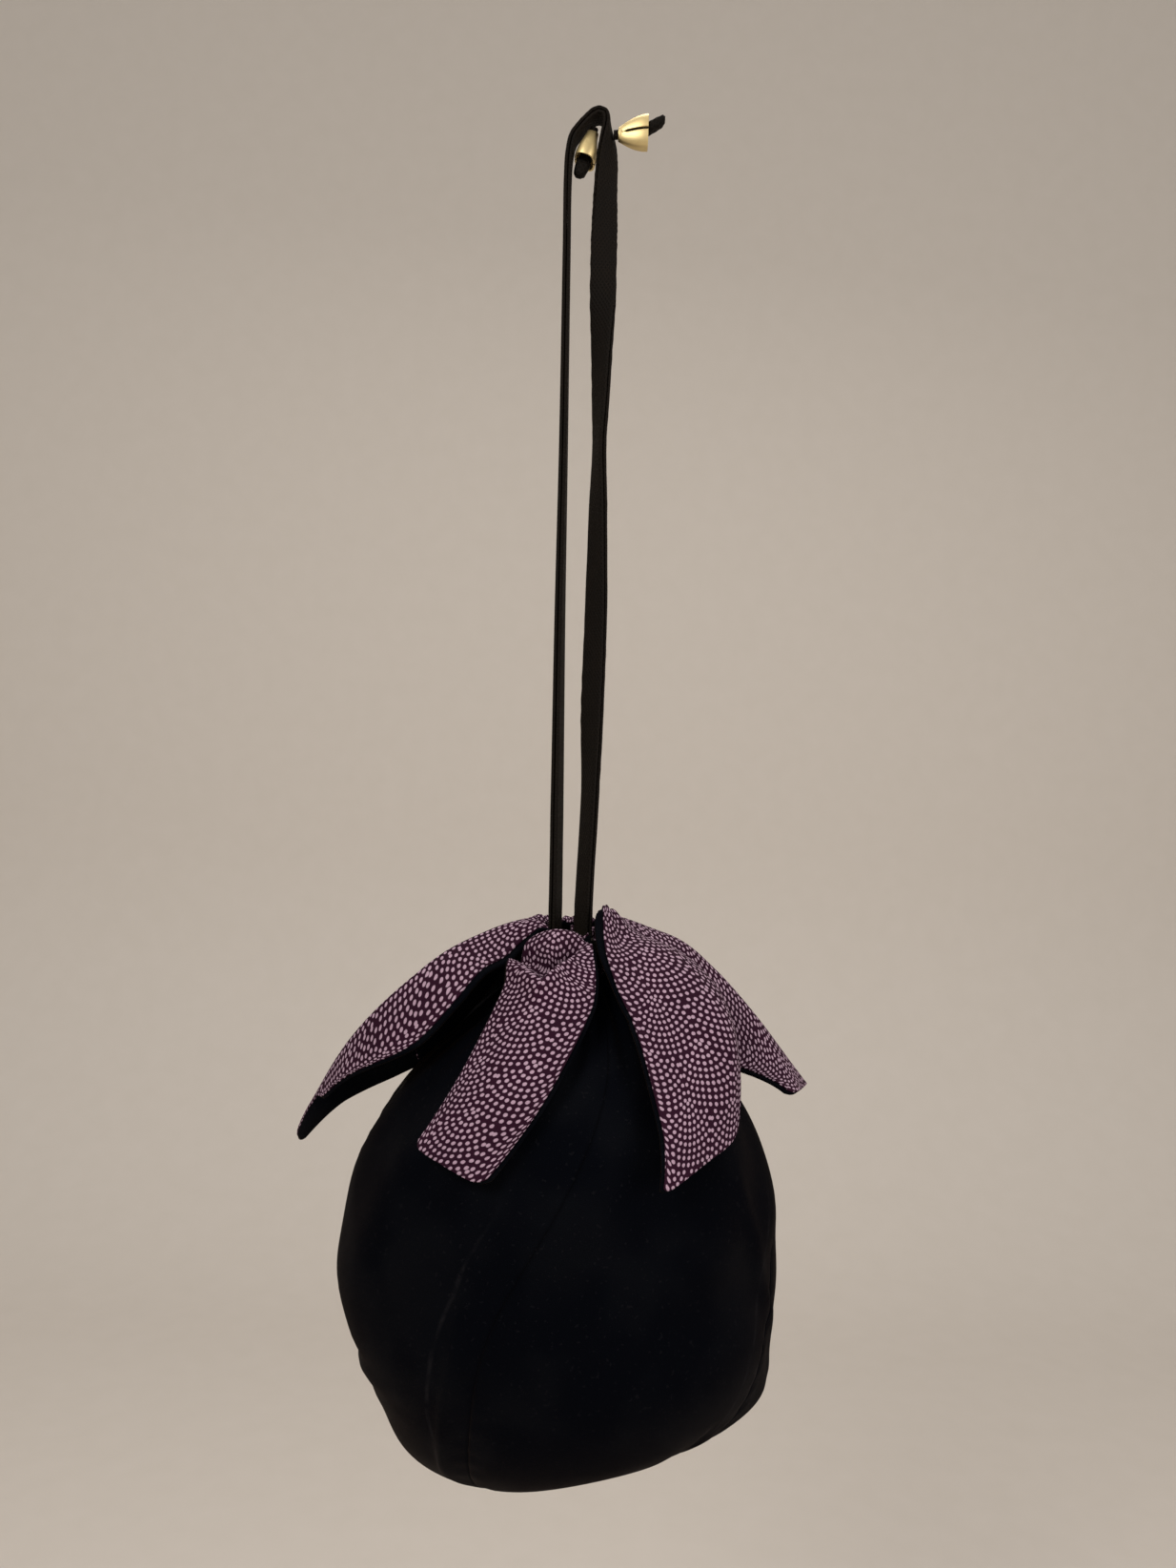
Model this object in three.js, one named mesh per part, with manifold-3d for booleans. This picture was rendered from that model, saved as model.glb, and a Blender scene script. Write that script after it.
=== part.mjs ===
// A drawstring bag in the shape of an eggplant: a gathered velvet body, a calyx of six lined petals round
// its mouth, and two flat drawstrings that it hangs by. Millimetres, +Z up, with the origin at the point
// where the drawstrings hang and the front of the bag towards -Y. Azimuths are degrees from the front
// towards +X, and depths are measured down from the mouth.
import * as THREE from "three";
import { mergeVertices } from "three/addons/utils/BufferGeometryUtils.js";
import Module from "manifold-3d";

// Clearance between neighbouring pieces
const GAP = 0.3;

// Flat drawstrings
const STRAP_WIDTH = 11;
const STRAP_THICKNESS = 1.2;
const STRAP_LAYER_GAP = 0.5;
const STRAP_STEPS = 42;

// Velvet body
const MOUTH_DROP = 341;
const NECK_DEPTH = 15.6;
const NECK_RADIUS = 17;
const BODY_HALF_WIDTH = 89.5;
const BODY_HALF_DEPTH = 76;
const WIDEST_DEPTH = 133;
const BASE_DEPTH = 220;
const SHOULDER_POWER = 2.3;
const BASE_POWER = 2.5;
const BASE_TILT = 12;
const TILT_START = 60;
const WAIST_LEAN = -2;
const BASE_LEAN = 10;
const LEAN_START = 125; // the depths between which the base's lean sets in
const LEAN_END = 190;
const TWIST_PER_MM = 0.36;
const GORES = 4;
const GORE_SWELL = 1.2;
const GORE_TIP_RADIUS = 2.5;
const VELVET_THICKNESS = 1.4;
const LINING_THICKNESS = 0.8;
const LINING_SLACK = 1.25;
const LINING_TOP_SLACK = 0.8;

// The mouth opens in two halves, parted by slits in two opposite seams
const SLIT_AZIMUTH = 27;
const SLIT_DEPTH = 53;
const SLIT_STEP = 0.35;
const LINING_SETBACK = 2.8;

// Collar: the tunnel round the mouth that holds the drawstrings
const COLLAR_INNER_RADIUS = 12;
const COLLAR_WALL = 1;
const COLLAR_HEM = 2;
const COLLAR_PLEAT = 0.6;
const COLLAR_RINGS = 24;
const SLIT_HALF_ANGLE = 20;

// Calyx petals
const PETALS = 6;
const PETAL_ROOT_RADIUS = 14.5;
const PRINT_THICKNESS = 0.7;
const PETAL_LINING_THICKNESS = 1.1;
const PETAL_LINING_REVEAL = 1;
const PETAL_LAYER_GAP = 0.5;
const PETAL_ROOT_WIDTH = 13;
const PETAL_FULL_WIDTH = 42;
const PETAL_END_SHARE = 0.92; // of the full width, at the cut end
const PETAL_END_FLAT = 0.5; // of the arch, gone at the cut end
const PETAL_CORNER = 0.035;

// Bell caps on the drawstrings' tails
const CAP_LENGTH = 12.5;
const CAP_NECK_LENGTH = 3;
const CAP_NECK_RADIUS = 3;
const CAP_RIM_SPLAY = 8.2;
const CAP_RIM_HALF_WIDTH = 4.4;
const CAP_WALL = 0.8;
const CAP_SLIT = 1.1;
const TAIL_NECK_RADIUS = 1.75;
const CAP_TRAVEL = 1.5;

const radians = THREE.MathUtils.degToRad;
const mix = THREE.MathUtils.lerp;
const smooth = THREE.MathUtils.smoothstep;
const wasm = await Module();
wasm.setup();

// Materials, one for each finish
const finish = (color, roughness, metalness = 0) =>
  new THREE.MeshStandardMaterial({ color, roughness, metalness });
const velvet = finish(0x07070a, 0.9);
const liningCloth = finish(0x111014, 0.8);
const printedCloth = finish(0x4a2140, 0.75);
const strapCloth = finish(0x14100d, 0.85);
const brass = finish(0xb8945c, 0.35, 1);

const bag = new THREE.Group();

function addPiece(name, geometry, material) {
  const mesh = new THREE.Mesh(geometry, material);
  mesh.name = name;
  bag.add(mesh);
}

function fromTriangles(points, triangles) {
  const geometry = new THREE.BufferGeometry().setFromPoints(points);
  geometry.setIndex(triangles);
  geometry.computeVertexNormals();
  return geometry;
}

// The outward direction of a surface(u, v) whose u runs with the azimuth and whose v runs away from the mouth
function normalAt(surface, u, v) {
  const step = 1e-4;
  const slope = (du, dv) =>
    surface(Math.min(u + du, 1), Math.min(v + dv, 1)).sub(
      surface(Math.max(u - du, 0), Math.max(v - dv, 0)),
    );
  return slope(0, step).cross(slope(step, 0)).normalize();
}

// The same surface, moved inwards by a distance
const inset = (surface, distance) => (u, v) =>
  surface(u, v).addScaledVector(normalAt(surface, u, v), -distance);

// A closed sheet of cloth that lies a distance behind surface(u, v), for u and v from 0 to 1
function sheet(surface, behind, thickness, across, along) {
  const points = [];
  for (const face of [inset(surface, behind), inset(surface, behind + thickness)])
    for (let j = 0; j <= along; j++)
      for (let i = 0; i <= across; i++) points.push(face(i / across, j / along));
  const row = across + 1;
  const layer = row * (along + 1);
  const triangles = [];
  const quad = (a, b, c, d) => triangles.push(a, b, c, c, b, d);
  for (let j = 0; j < along; j++)
    for (let i = 0; i < across; i++) {
      const a = j * row + i;
      quad(a, a + row, a + 1, a + row + 1);
      quad(a + layer, a + layer + 1, a + layer + row, a + layer + row + 1);
    }
  for (let i = 0; i < across; i++) {
    const last = along * row + i;
    quad(i, i + 1, i + layer, i + 1 + layer);
    quad(last, last + layer, last + 1, last + 1 + layer);
  }
  for (let j = 0; j < along; j++) {
    const left = j * row;
    const right = left + across;
    quad(left, left + layer, left + row, left + row + layer);
    quad(right, right + row, right + layer, right + row + layer);
  }
  return fromTriangles(points, triangles);
}

// A closed solid through rings of points that run anticlockwise about the path
function loft(rings) {
  const n = rings[0].length;
  const last = (rings.length - 1) * n;
  const triangles = [];
  for (let j = 0; j < last; j += n)
    for (let i = 0; i < n; i++) {
      const next = (i + 1) % n;
      triangles.push(j + i, j + next, j + n + i);
      triangles.push(j + next, j + n + next, j + n + i);
    }
  for (let i = 1; i < n - 1; i++) {
    triangles.push(0, i + 1, i);
    triangles.push(last, last + i, last + i + 1);
  }
  return fromTriangles(rings.flat(), triangles);
}

// A hollow tube through outer and inner rings with as many points each
function hollowLoft(outer, inner) {
  const n = outer[0].length;
  const layer = outer.length * n;
  const last = layer - n;
  const triangles = [];
  const quad = (a, b, c, d) => triangles.push(a, b, c, b, d, c);
  for (let i = 0; i < n; i++) {
    const next = (i + 1) % n;
    for (let j = 0; j < last; j += n) {
      quad(j + i, j + next, j + n + i, j + n + next);
      quad(layer + j + next, layer + j + i, layer + j + n + next, layer + j + n + i);
    }
    quad(layer + i, layer + next, i, next);
    quad(last + i, last + next, layer + last + i, layer + last + next);
  }
  return fromTriangles([...outer.flat(), ...inner.flat()], triangles);
}

// A flat section with rounded edges, spread along two directions from a centre
function flatRing(centre, side, face, halfWidth, halfThickness) {
  const points = 8;
  const squared = (value) => Math.sign(value) * Math.sqrt(Math.abs(value));
  return Array.from({ length: points }, (_, i) => {
    const angle = ((i + 0.5) / points) * 2 * Math.PI;
    return centre
      .clone()
      .addScaledVector(side, halfWidth * squared(Math.cos(angle)))
      .addScaledVector(face, halfThickness * squared(Math.sin(angle)));
  });
}

// The strap's directions at a point of its path: along it, across its width and out of its face
function strapFrame(curve, t, width) {
  const along = curve.getTangent(t);
  const side = width.clone().addScaledVector(along, -width.dot(along)).normalize();
  return { side, face: along.clone().cross(side) };
}

const polar = (radius, azimuth, z) =>
  new THREE.Vector3(
    radius * Math.sin(radians(azimuth)),
    -radius * Math.cos(radians(azimuth)),
    z,
  );

// Body profile: t is 0 at the neck, 1 at the widest ring and 2 at the base
function profile(t) {
  if (t <= 1) {
    const rise = 1 - (1 - t) ** SHOULDER_POWER;
    return {
      depth: mix(NECK_DEPTH, WIDEST_DEPTH, t),
      radius: mix(NECK_RADIUS, BODY_HALF_WIDTH, rise),
    };
  }
  const angle = ((t - 1) * Math.PI) / 2;
  return {
    depth: mix(WIDEST_DEPTH, BASE_DEPTH, Math.sin(angle) ** (2 / BASE_POWER)),
    radius: BODY_HALF_WIDTH * Math.cos(angle) ** (2 / BASE_POWER),
  };
}

const twistAt = (depth) => -TWIST_PER_MM * (depth - NECK_DEPTH);

// A point of the velvet's outer face: the body is flatter front to back, its waist leans to the left, and
// its base leans and tilts up to the right
function bodyPoint(azimuth, t, swell) {
  const { depth, radius } = profile(t);
  const full = radius + swell * Math.min(1, radius / BODY_HALF_WIDTH);
  const flatten = mix(1, BODY_HALF_DEPTH / BODY_HALF_WIDTH, smooth(depth, NECK_DEPTH, WIDEST_DEPTH));
  const point = polar(full, azimuth + twistAt(depth), -MOUTH_DROP - depth);
  point.y *= flatten;
  const tilt = Math.tan(radians(BASE_TILT)) * smooth(depth, TILT_START, BASE_DEPTH);
  point.z += tilt * point.x;
  point.x += WAIST_LEAN * smooth(depth, NECK_DEPTH, WIDEST_DEPTH);
  point.x += (BASE_LEAN - WAIST_LEAN) * smooth(depth, LEAN_START, LEAN_END);
  return point;
}

// One panel of the body from seam to seam, between two places of the profile
function panel(firstSeam, spanAngle, from, to, swell) {
  return (u, v) => {
    const t = mix(from, to, v);
    const margin = GAP / 2 / Math.max(radians(1) * profile(t).radius, 1e-6);
    const azimuth = firstSeam + mix(margin, spanAngle - margin, u);
    return bodyPoint(azimuth, t, swell * Math.sin(Math.PI * u));
  };
}

// Places on the profile where the gathered tops end and the lower panels begin. The tops pass over the
// lower panels as the mouth opens, so they end a step higher, and the lining's tops higher again.
const placeOf = (depth) => (depth - NECK_DEPTH) / (WIDEST_DEPTH - NECK_DEPTH);
const gatherEnd = placeOf(SLIT_DEPTH);
const liningGatherEnd = placeOf(SLIT_DEPTH - LINING_SETBACK);
const panelStart = placeOf(SLIT_DEPTH + SLIT_STEP);
const tipEnd = 1 + (2 / Math.PI) * Math.acos((GORE_TIP_RADIUS / BODY_HALF_WIDTH) ** (BASE_POWER / 2));

// Velvet gores, each with its gathered top above the slit's end
const goreAngle = 360 / GORES;
for (let k = 0; k < GORES; k++) {
  const seam = SLIT_AZIMUTH - 180 + k * goreAngle;
  const lower = panel(seam, goreAngle, panelStart, tipEnd, GORE_SWELL);
  const upper = panel(seam, goreAngle, 0, gatherEnd, GORE_SWELL);
  addPiece(`gore_${k + 1}`, sheet(lower, 0, VELVET_THICKNESS, 9, 15), velvet);
  addPiece(`gore_${k + 1}_gather`, sheet(upper, 0, VELVET_THICKNESS, 9, 5), velvet);
}

// Lining: a left and a right panel, with their gathered tops
const halves = [
  { side: "left", seam: SLIT_AZIMUTH - 180 },
  { side: "right", seam: SLIT_AZIMUTH },
];
for (const { side, seam } of halves) {
  const behind = VELVET_THICKNESS + LINING_SLACK;
  const behindTop = VELVET_THICKNESS + LINING_TOP_SLACK;
  const lower = panel(seam, 180, panelStart, tipEnd, 0);
  const upper = panel(seam, 180, 0, liningGatherEnd, 0);
  addPiece(`lining_${side}`, sheet(lower, behind, LINING_THICKNESS, 12, 11), liningCloth);
  addPiece(`lining_${side}_gather`, sheet(upper, behindTop, LINING_THICKNESS, 12, 4), liningCloth);
}

// Collar halves: pleated tunnels of a rectangular section
const channelWidth = STRAP_THICKNESS + 2 * GAP;
const channelRadius = COLLAR_INNER_RADIUS + COLLAR_WALL + channelWidth / 2;
const channelHalfHeight = STRAP_WIDTH / 2 + GAP;
const collarHalfHeight = channelHalfHeight + COLLAR_HEM;
const collarDepth = NECK_DEPTH - GAP - collarHalfHeight;
const collarMiddle = -MOUTH_DROP - collarDepth;
const collarOuterRadius = channelRadius + channelWidth / 2 + COLLAR_WALL + COLLAR_PLEAT;

// A rectangle in the upright plane at an azimuth, from the inside round over the top
const uprightRing = (azimuth, inside, outside, halfHeight) =>
  [
    [inside, -halfHeight],
    [inside, halfHeight],
    [outside, halfHeight],
    [outside, -halfHeight],
  ].map(([radius, z]) => polar(radius, azimuth, collarMiddle + z));

for (const { side, seam } of halves) {
  const outer = [];
  const inner = [];
  for (let i = 0; i <= COLLAR_RINGS; i++) {
    const azimuth = mix(seam + SLIT_HALF_ANGLE, seam + 180 - SLIT_HALF_ANGLE, i / COLLAR_RINGS);
    const pleat = i % 2 ? -COLLAR_PLEAT : 0;
    outer.push(
      uprightRing(azimuth, COLLAR_INNER_RADIUS, collarOuterRadius + pleat, collarHalfHeight),
    );
    inner.push(
      uprightRing(
        azimuth,
        channelRadius - channelWidth / 2,
        channelRadius + channelWidth / 2,
        channelHalfHeight,
      ),
    );
  }
  addPiece(`collar_${side}`, hollowLoft(outer, inner), printedCloth);
}

// Petals: a ridge that lies along the shoulder, and one that stands off it, as [radius, depth]
const petalRootDepth =
  collarDepth - collarHalfHeight - GAP - PRINT_THICKNESS - GAP - PETAL_LINING_THICKNESS;
const ridge = (points) =>
  new THREE.SplineCurve([
    new THREE.Vector2(PETAL_ROOT_RADIUS, petalRootDepth),
    ...points.map(([radius, depth]) => new THREE.Vector2(radius, depth)),
  ]);
const lyingRidge = ridge([
  [20, -4],
  [31.5, 4.5],
  [45, 20],
  [58, 38.5],
  [70, 57],
  [79.5, 76.5],
]);
const standingRidge = ridge([
  [20.5, -5.5],
  [36, 0],
  [53, 9],
  [69, 23],
  [85, 43],
  [99, 66],
]);
// Each petal's own form: how far it stands off, its length and breadth against the common ones, how its end
// slants, how far it swings round near its root and at its end, its roll, its arch, and where it is fully open
const petalShapes = [
  {
    standing: 1.12, reach: 1.08, breadth: 1, slant: -0.7,
    swing: -13, drift: -6, roll: 16, arch: 13, open: 0.66,
  },
  {
    standing: 0.15, reach: 1.03, breadth: 0.9, slant: 0.24,
    swing: -10.5, drift: -7, roll: 0, arch: 6, open: 0.44,
  },
  {
    standing: 0.2, reach: 1.02, breadth: 1.1, slant: -0.5,
    swing: -8, drift: 0.5, roll: 0, arch: 5, open: 0.5,
  },
  {
    standing: 1.12, reach: 1, breadth: 1, slant: 0.3,
    swing: -3, drift: -3, roll: 22, arch: 8, open: 0.6,
  },
  {
    standing: 0.5, reach: 1, breadth: 1, slant: 0.1,
    swing: -6, drift: -3, roll: 0, arch: 7, open: 0.6,
  },
  {
    standing: 0.7, reach: 1, breadth: 1, slant: 0.1,
    swing: -11, drift: -6, roll: 0, arch: 7, open: 0.6,
  },
];

function petalHalfWidth(s, { breadth, open }) {
  const full = PETAL_FULL_WIDTH * breadth;
  const width = mix(PETAL_ROOT_WIDTH, full, smooth(s, 0.04, open));
  return mix(width, full * PETAL_END_SHARE, smooth(s, 0.7, 1)) / 2;
}

// The upper face of a petal: u runs across it and v from its root to its end
function petalSurface(rootAzimuth, shape, widen) {
  const { standing, reach, slant, swing, drift } = shape;
  const spine = (s) => {
    const point = lyingRidge.getPoint(s).lerp(standingRidge.getPoint(s), standing);
    const radius = point.x + (reach - 1) * (point.x - PETAL_ROOT_RADIUS);
    const depth = point.y + (reach - 1) * (point.y - petalRootDepth);
    const turn = mix(swing, drift, smooth(s, 0.3, 1)) * smooth(s, 0, 0.3);
    const azimuth = rootAzimuth + twistAt(Math.max(depth, NECK_DEPTH)) + turn;
    return { point: polar(radius, azimuth, -MOUTH_DROP - depth), azimuth };
  };
  return (u, v) => {
    const across = 2 * u - 1;
    const s = v * (1 - PETAL_CORNER * across ** 8);
    const { point, azimuth } = spine(s);
    const step = 1e-3;
    const along = spine(Math.min(s + step, 1)).point.sub(spine(Math.max(s - step, 0)).point);
    along.normalize();
    const side = polar(1, azimuth + 90, 0);
    side.addScaledVector(along, slant * smooth(s, 0.05, 0.5)).normalize();
    side.applyAxisAngle(along, radians(shape.roll) * smooth(s, 0.1, 0.6));
    const up = along.clone().cross(side).normalize();
    const arch = shape.arch * smooth(s, 0, 0.45) * (1 - PETAL_END_FLAT * smooth(s, 0.65, 1));
    const halfWidth = petalHalfWidth(s, shape);
    const offset = across * (halfWidth + widen);
    return point
      .addScaledVector(side, offset)
      .addScaledVector(up, -arch * (offset / halfWidth) ** 2);
  };
}

const petalAngle = 360 / PETALS;
petalShapes.forEach((shape, k) => {
  const rootAzimuth = SLIT_AZIMUTH + (k - 1.5) * petalAngle;
  const print = petalSurface(rootAzimuth, shape, 0);
  const backing = petalSurface(rootAzimuth, shape, PETAL_LINING_REVEAL);
  const name = `petal_${k + 1}`;
  addPiece(`${name}_print`, sheet(print, 0, PRINT_THICKNESS, 8, 14), printedCloth);
  const behind = PRINT_THICKNESS + PETAL_LAYER_GAP;
  addPiece(`${name}_lining`, sheet(backing, behind, PETAL_LINING_THICKNESS, 8, 14), velvet);
});

// Drawstring loops: both follow one route from the mouth, over the hang point and back, one on the other.
// Each point is [x, z, turn of the strap's width about the upright].
const loopRoute = [
  [-8.2, -349, 90],
  [-8.3, -330, 90],
  [-9, -282, 90],
  [-10.1, -210, 90],
  [-10.8, -138, 90],
  [-12, -54, 90],
  [-12.4, -26, 90],
  [-12, -15.5, 90],
  [-10.6, -9, 90],
  [-7.8, -5, 90],
  [-4.8, -1.6, 90],
  [-2.4, 0.6, 90],
  [0, 1.5, 90],
  [2.4, 0.5, 90],
  [3.5, -2.6, 84],
  [4, -8.5, 66],
  [3.9, -16, 50],
  [3.6, -30, 40],
  [3.6, -42, 28],
  [3.6, -54, 12],
  [3.8, -72, -16],
  [4, -90, -44],
  [4.2, -122, -64],
  [4.2, -138, -72],
  [4.4, -162, -60],
  [4.9, -210, -46],
  [4.6, -248, -44],
  [4.8, -282, -60],
  [3.5, -330, -60],
  [3.5, -349, -60],
];
const loopCurve = new THREE.CatmullRomCurve3(
  loopRoute.map(([x, z]) => new THREE.Vector3(x, 0, z)),
);
const loopTurn = new THREE.SplineCurve(
  loopRoute.map(([, , turn], i) => new THREE.Vector2(i, turn)),
);
const layerOffset = (STRAP_THICKNESS + STRAP_LAYER_GAP) / 2;

function loopStrap(offset) {
  const steps = 3 * (loopRoute.length - 1);
  const rings = [];
  for (let i = 0; i <= steps; i++) {
    const t = i / steps;
    const turn = radians(loopTurn.getPoint(t).y);
    const width = new THREE.Vector3(Math.cos(turn), Math.sin(turn), 0);
    const { side, face } = strapFrame(loopCurve, t, width);
    const centre = loopCurve.getPoint(t).addScaledVector(face, offset);
    rings.push(flatRing(centre, side, face, STRAP_WIDTH / 2, STRAP_THICKNESS / 2));
  }
  return loft(rings);
}

// Channel straps: each drawstring's run through its half of the collar, with its ends led in to the loops
const upright = new THREE.Vector3(0, 0, 1);
const leadsIn = {
  left: [
    [-8.95, 5.95],
    [-8, 8.2],
    [-7.2, 10.4],
  ],
  right: [
    [7.15, -5],
    [7.3, -8],
    [7.07, -10.5],
  ],
};
const leadsOut = {
  left: [
    [4.33, -11.9],
    [5, -8.5],
    [5.75, -5.8],
  ],
  right: [
    [-4.33, 11.9],
    [-5.6, 8.6],
    [-7.45, 5.95],
  ],
};

function channelStrap(side, seam) {
  const level = ([x, y]) => new THREE.Vector3(x, y, collarMiddle);
  const bend = SLIT_HALF_ANGLE - 7;
  const arcPoints = 17;
  const arc = Array.from({ length: arcPoints }, (_, i) =>
    polar(channelRadius, seam + mix(bend, 180 - bend, i / (arcPoints - 1)), collarMiddle),
  );
  const curve = new THREE.CatmullRomCurve3([
    ...leadsIn[side].map(level),
    ...arc,
    ...leadsOut[side].map(level),
  ]);
  const rings = [];
  for (let i = 0; i <= STRAP_STEPS; i++) {
    const t = i / STRAP_STEPS;
    const frame = strapFrame(curve, t, upright);
    rings.push(
      flatRing(curve.getPoint(t), frame.side, frame.face, STRAP_WIDTH / 2, STRAP_THICKNESS / 2),
    );
  }
  return loft(rings);
}

addPiece("left_drawstring_loop", loopStrap(layerOffset), strapCloth);
addPiece("right_drawstring_loop", loopStrap(-layerOffset), strapCloth);
for (const { side, seam } of halves)
  addPiece(`${side}_drawstring_channel`, channelStrap(side, seam), strapCloth);

// Tails and their caps: where each tail leaves the loops, which way it points, and which way its cap is broad
const tails = [
  {
    side: "left",
    base: new THREE.Vector3(-2, 0, -4.1),
    along: new THREE.Vector3(-0.25, 0, -0.97).normalize(),
    broad: new THREE.Vector3(0, 1, 0),
    stubBend: new THREE.Vector3(-0.1, -0.1, 0),
  },
  {
    side: "right",
    base: new THREE.Vector3(6.2, -0.6, -6.8),
    along: new THREE.Vector3(0.995, 0, 0.1).normalize(),
    broad: new THREE.Vector3(0, 0, 1),
    stubBend: new THREE.Vector3(0, 0, 0.7),
  },
];

// How far along the tail its neck, knot and stub lie, with their half width and half thickness
const capStart = 0.5 + CAP_TRAVEL;
const neckEnd = capStart + CAP_NECK_LENGTH + 1;
const capEnd = capStart + CAP_LENGTH;
const tailSections = [
  [0, TAIL_NECK_RADIUS, TAIL_NECK_RADIUS],
  [neckEnd, TAIL_NECK_RADIUS, TAIL_NECK_RADIUS],
  [neckEnd + 2, 2.2, 3.4],
  [neckEnd + 5, 2.2, 3.4],
  [capEnd - 2, 2.4, 2.2],
  [capEnd + 1, 3, 1.6],
  [capEnd + 4, 2.8, 1.5],
  [capEnd + 7, 2, 1.3],
];

for (const { side, base, along, broad, stubBend } of tails) {
  const face = broad.clone().addScaledVector(along, -broad.dot(along)).normalize();
  const narrow = face.clone().cross(along);
  const place = (distance) => {
    const past = Math.max(0, distance - capEnd + 3);
    return base
      .clone()
      .addScaledVector(along, distance)
      .addScaledVector(stubBend, past * 0.7);
  };
  const rings = tailSections.map(([distance, halfWidth, halfThickness]) =>
    flatRing(place(distance), narrow, face, halfWidth, halfThickness),
  );
  addPiece(`${side}_drawstring_tail`, loft(rings), strapCloth);

  // A bell that flares from a round neck to an oval rim, slit down the middle of both broad sides
  const bellRing = (distance, splay, halfWidth) =>
    Array.from({ length: 16 }, (_, i) => {
      const angle = (i / 16) * 2 * Math.PI;
      return place(distance)
        .addScaledVector(narrow, halfWidth * Math.cos(angle))
        .addScaledVector(face, splay * Math.sin(angle));
    });
  const flare = [0, 0.18, 0.3, 0.5, 0.75, 1];
  const shell = (inside) =>
    flare.map((share) => {
      const open = smooth(share, 0.1, 0.9) ** 0.7;
      return bellRing(
        capStart + share * CAP_LENGTH,
        mix(CAP_NECK_RADIUS, CAP_RIM_SPLAY, open) - inside,
        mix(CAP_NECK_RADIUS, CAP_RIM_HALF_WIDTH, open) - inside,
      );
    });
  const bell = hollowLoft(shell(0), shell(CAP_WALL));
  const slitLength = CAP_LENGTH - CAP_NECK_LENGTH;
  const cutter = new THREE.BoxGeometry(4 * CAP_RIM_HALF_WIDTH, CAP_SLIT, slitLength + 2);
  cutter.applyMatrix4(
    new THREE.Matrix4()
      .makeBasis(narrow, face, along)
      .setPosition(
        base.clone().addScaledVector(along, capEnd + 1 - slitLength / 2),
      ),
  );
  addPiece(`${side}_cap`, subtract(bell, cutter), brass);
}

function subtract(solid, cutter) {
  const manifold = (geometry) => {
    const bare = geometry.clone();
    bare.deleteAttribute("normal");
    bare.deleteAttribute("uv");
    const merged = mergeVertices(bare, 1e-4);
    return new wasm.Manifold(
      new wasm.Mesh({
        numProp: 3,
        vertProperties: merged.attributes.position.array,
        triVerts: new Uint32Array(merged.index.array),
      }),
    );
  };
  const cut = manifold(solid).subtract(manifold(cutter)).getMesh();
  const geometry = new THREE.BufferGeometry();
  geometry.setAttribute("position", new THREE.BufferAttribute(cut.vertProperties, 3));
  geometry.setIndex(new THREE.BufferAttribute(cut.triVerts, 1));
  geometry.computeVertexNormals();
  return geometry;
}

export default bag;
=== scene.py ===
# %% [markdown]
# # A velvet drawstring bag in the shape of an eggplant
#
# The bag hangs shut by two flat straps. Its body is four velvet panels, its mouth a pleated tunnel, and six
# printed petals fall from the mouth like the calyx of the fruit. This lesson dresses the CAD model: every
# soft part is made again here as thin cloth with seams, pleats and folds, and every surface gets a material
# built from nodes. Lengths are in millimetres until a mesh is made, because cloth is easier to think of so.

# %% Load the model
import math

import bmesh
import bpy
import numpy as np
from mathutils import Matrix


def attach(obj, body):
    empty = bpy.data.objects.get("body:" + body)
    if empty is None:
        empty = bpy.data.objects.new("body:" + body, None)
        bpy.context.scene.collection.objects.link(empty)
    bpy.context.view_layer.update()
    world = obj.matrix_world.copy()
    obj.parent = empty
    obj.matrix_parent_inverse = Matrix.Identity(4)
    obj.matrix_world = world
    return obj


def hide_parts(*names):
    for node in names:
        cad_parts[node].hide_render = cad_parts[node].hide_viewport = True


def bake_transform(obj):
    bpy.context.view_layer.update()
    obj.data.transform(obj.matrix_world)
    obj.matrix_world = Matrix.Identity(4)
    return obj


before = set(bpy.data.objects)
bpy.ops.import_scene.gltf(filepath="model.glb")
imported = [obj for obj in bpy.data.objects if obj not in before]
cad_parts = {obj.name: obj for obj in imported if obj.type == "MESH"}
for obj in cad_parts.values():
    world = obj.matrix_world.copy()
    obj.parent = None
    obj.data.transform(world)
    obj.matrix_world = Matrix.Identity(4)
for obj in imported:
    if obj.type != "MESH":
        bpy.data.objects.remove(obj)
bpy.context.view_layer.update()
MM = 0.001
METRE = 1000
scene = bpy.context.scene
scene.view_settings.view_transform = "Standard"

# %% [markdown]
# ## The camera
#
# The photograph was taken about half a metre away, level with the lower straps and turned by less than two
# degrees. A camera could be aimed with a constraint, but its place and its turn are known here, so the
# matrix is written straight from its right, up and back directions.

# %% Camera
CAMERA_PLACE = (0.0038, -0.516, -0.279)
CAMERA_BACK = (0, -1, 0)
CAMERA_ROLL = math.radians(1.75)
IMAGE_HEIGHT = 1645
FOCAL_PIXELS = 1290
SENSOR = 36

roll_right = (math.cos(CAMERA_ROLL), 0, math.sin(CAMERA_ROLL))
roll_up = (-math.sin(CAMERA_ROLL), 0, math.cos(CAMERA_ROLL))
camera = bpy.data.objects.new("camera", bpy.data.cameras.new("camera"))
camera.data.sensor_width = SENSOR
camera.data.lens = FOCAL_PIXELS / IMAGE_HEIGHT * SENSOR
camera_turn = Matrix((roll_right, roll_up, CAMERA_BACK)).transposed().to_4x4()
camera.matrix_world = Matrix.Translation(CAMERA_PLACE) @ camera_turn
scene.collection.objects.link(camera)
scene.camera = camera
print("lens", round(camera.data.lens, 2))

# %% [markdown]
# ## Small helpers for cloth
#
# A sheet of cloth is a grid that has been bent. So each soft piece here starts from the grid operator, and a
# function of the grid's two directions says where each point of the cloth lies. The same two directions give
# the cloth its UV map, in metres, so that a print or a weave keeps its scale however the cloth bends.

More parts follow.
